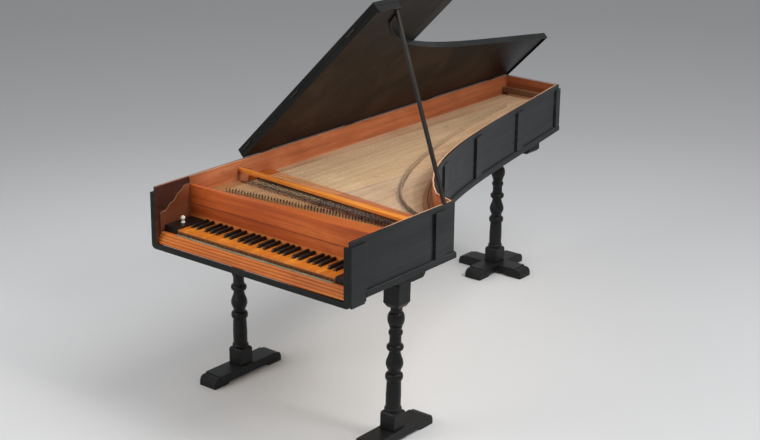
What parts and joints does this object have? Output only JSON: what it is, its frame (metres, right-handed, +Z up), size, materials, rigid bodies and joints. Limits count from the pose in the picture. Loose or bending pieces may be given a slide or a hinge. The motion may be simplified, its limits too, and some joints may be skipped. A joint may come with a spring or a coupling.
{
  "type": "fortepiano",
  "caption": "Wing-shaped fortepiano on turned stands, with a propped lid, folding flap, keyboard and striking action.",
  "frame": {"origin": "on the floor, below the middle of the object's bounding box with the lid propped open", "axes": "+Z up, +Y from the keyboard towards the tail, +X from the spine towards the cheek"},
  "size_m": [0.9782, 2.295, 1.5632],
  "materials": {
    "black_paint": "worn matt paint",
    "dark_paint": "worn matt paint",
    "cypress": "oiled",
    "pale_wood": "planed",
    "soundboard_wood": "planed",
    "walnut": "oiled",
    "boxwood": "polished",
    "ebony": "polished",
    "ivory": "polished",
    "hammer_wood": "planed"
  },
  "bodies": {
    "case": {"cheek_wall": "black_paint", "bentside_wall": "black_paint", "tail_wall": "black_paint", "spine_wall": "black_paint", "bottom_board": "pale_wood", "bentside_lining": "cypress", "tail_lining": "cypress", "return_lining": "cypress", "cheek_lining": "cypress", "spine_lining": "cypress", "base_moulding": "black_paint", "front_frame": "black_paint", "key_slip": "cypress", "keyblock_right": "black_paint", "nameboard_lower": "cypress", "nameboard_upper": "cypress", "key_frame": "pale_wood", "hammer_rail": "pale_wood", "wrestplank": "pale_wood", "nut": "walnut", "belly_rail": "pale_wood", "soundboard": "soundboard_wood", "belly_rail_cap": "cypress", "hitchpin_rail": "cypress", "bridge": "walnut", "liner": "pale_wood", "soundboard_ribs": "pale_wood", "bottom_braces": "pale_wood", "damper_rail": "cypress", "front_left_foot": "black_paint", "front_left_column": "black_paint", "front_left_bearer": "black_paint", "front_right_foot": "black_paint", "front_right_column": "black_paint", "front_right_bearer": "black_paint", "rear_foot": "black_paint", "rear_column": "black_paint", "rear_bearer": "black_paint"},
    "lid": {"lid": "black_paint"},
    "flap": {"lid_flap": "black_paint"},
    "fall": {"fall_board": "dark_paint"},
    "prop": {"prop_stick": "black_paint"},
    "keyblock": {"keyblock_left": "black_paint", "stop_knob": "ivory"},
    "keys_1": {"naturals_1": "boxwood", "sharps_1": "ebony"},
    "hammer_group_1": {"hammers_1": "hammer_wood"},
    "damper_group_1": {"dampers_1": "pale_wood"},
    "keys_2": {"naturals_2": "boxwood", "sharps_2": "ebony"},
    "hammer_group_2": {"hammers_2": "hammer_wood"},
    "damper_group_2": {"dampers_2": "pale_wood"},
    "keys_3": {"naturals_3": "boxwood", "sharps_3": "ebony"},
    "hammer_group_3": {"hammers_3": "hammer_wood"},
    "damper_group_3": {"dampers_3": "pale_wood"},
    "keys_4": {"naturals_4": "boxwood", "sharps_4": "ebony"},
    "hammer_group_4": {"hammers_4": "hammer_wood"},
    "damper_group_4": {"dampers_4": "pale_wood"}
  },
  "joints": [
    {"name": "lid_hinge", "type": "hinge", "parent": "case", "child": "lid", "pos_m": [-0.46185, -0.6575, 0.8656], "axis": [0, -1, 0], "range_deg": [0, 50]},
    {"name": "flap_hinge", "type": "hinge", "parent": "lid", "child": "flap", "pos_m": [-0.47621, -0.6575, 0.87995], "axis": [0.7071, 0, 0.7071], "range_deg": [0, 180]},
    {"name": "fall_board_hinge", "type": "hinge", "parent": "flap", "child": "fall", "pos_m": [-0.48915, -0.1678, 0.89289], "axis": [0.7071, 0, 0.7071], "range_deg": [0, 90]},
    {"name": "prop_swing", "type": "hinge", "parent": "case", "child": "prop", "pos_m": [0.47115, -0.59503, 0.8653], "axis": [-1, 0, 0], "range_deg": [0, 60]},
    {"name": "keyblock_lift", "type": "slide", "parent": "case", "child": "keyblock", "axis": [0, 0, 1], "range_m": [0, 0.05]},
    {"name": "keys_1_press", "type": "hinge", "parent": "case", "child": "keys_1", "pos_m": [-0.29655, -0.8775, 0.684], "axis": [1, 0, 0], "range_deg": [0, 1.9], "stiffness_Nm_per_rad": 6, "springref_deg": -5.73},
    {"name": "keys_2_press", "type": "hinge", "parent": "case", "child": "keys_2", "pos_m": [-0.12995, -0.8775, 0.684], "axis": [1, 0, 0], "range_deg": [0, 1.9], "stiffness_Nm_per_rad": 6, "springref_deg": -5.73},
    {"name": "keys_3_press", "type": "hinge", "parent": "case", "child": "keys_3", "pos_m": [0.03665, -0.8775, 0.684], "axis": [1, 0, 0], "range_deg": [0, 1.9], "stiffness_Nm_per_rad": 6, "springref_deg": -5.73},
    {"name": "keys_4_press", "type": "hinge", "parent": "case", "child": "keys_4", "pos_m": [0.25085, -0.8775, 0.684], "axis": [1, 0, 0], "range_deg": [0, 1.9], "stiffness_Nm_per_rad": 6, "springref_deg": -5.73},
    {"name": "hammers_1_strike", "type": "hinge", "parent": "case", "child": "hammer_group_1", "pos_m": [-0.29655, -0.81159, 0.728], "axis": [0.9985, -0.0549, 0], "range_deg": [0, 12]},
    {"name": "hammers_2_strike", "type": "hinge", "parent": "case", "child": "hammer_group_2", "pos_m": [-0.12995, -0.82075, 0.728], "axis": [0.9985, -0.0549, 0], "range_deg": [0, 12]},
    {"name": "hammers_3_strike", "type": "hinge", "parent": "case", "child": "hammer_group_3", "pos_m": [0.03665, -0.82992, 0.728], "axis": [0.9985, -0.0549, 0], "range_deg": [0, 12]},
    {"name": "hammers_4_strike", "type": "hinge", "parent": "case", "child": "hammer_group_4", "pos_m": [0.25085, -0.8417, 0.728], "axis": [0.9985, -0.0549, 0], "range_deg": [0, 12]},
    {"name": "dampers_1_lift", "type": "slide", "parent": "case", "child": "damper_group_1", "axis": [0, 0, 1], "range_m": [0, 0.008]},
    {"name": "dampers_2_lift", "type": "slide", "parent": "case", "child": "damper_group_2", "axis": [0, 0, 1], "range_m": [0, 0.008]},
    {"name": "dampers_3_lift", "type": "slide", "parent": "case", "child": "damper_group_3", "axis": [0, 0, 1], "range_m": [0, 0.008]},
    {"name": "dampers_4_lift", "type": "slide", "parent": "case", "child": "damper_group_4", "axis": [0, 0, 1], "range_m": [0, 0.008]}
  ],
  "couplings": [
    {"joint": "hammers_1_strike", "follows": "keys_1_press", "ratio": 6.1},
    {"joint": "hammers_2_strike", "follows": "keys_2_press", "ratio": 6.1},
    {"joint": "hammers_3_strike", "follows": "keys_3_press", "ratio": 6.1},
    {"joint": "hammers_4_strike", "follows": "keys_4_press", "ratio": 6.1},
    {"joint": "dampers_1_lift", "follows": "keys_1_press", "m_per_rad": 0.2125},
    {"joint": "dampers_2_lift", "follows": "keys_2_press", "m_per_rad": 0.2033},
    {"joint": "dampers_3_lift", "follows": "keys_3_press", "m_per_rad": 0.1942},
    {"joint": "dampers_4_lift", "follows": "keys_4_press", "m_per_rad": 0.185}
  ]
}
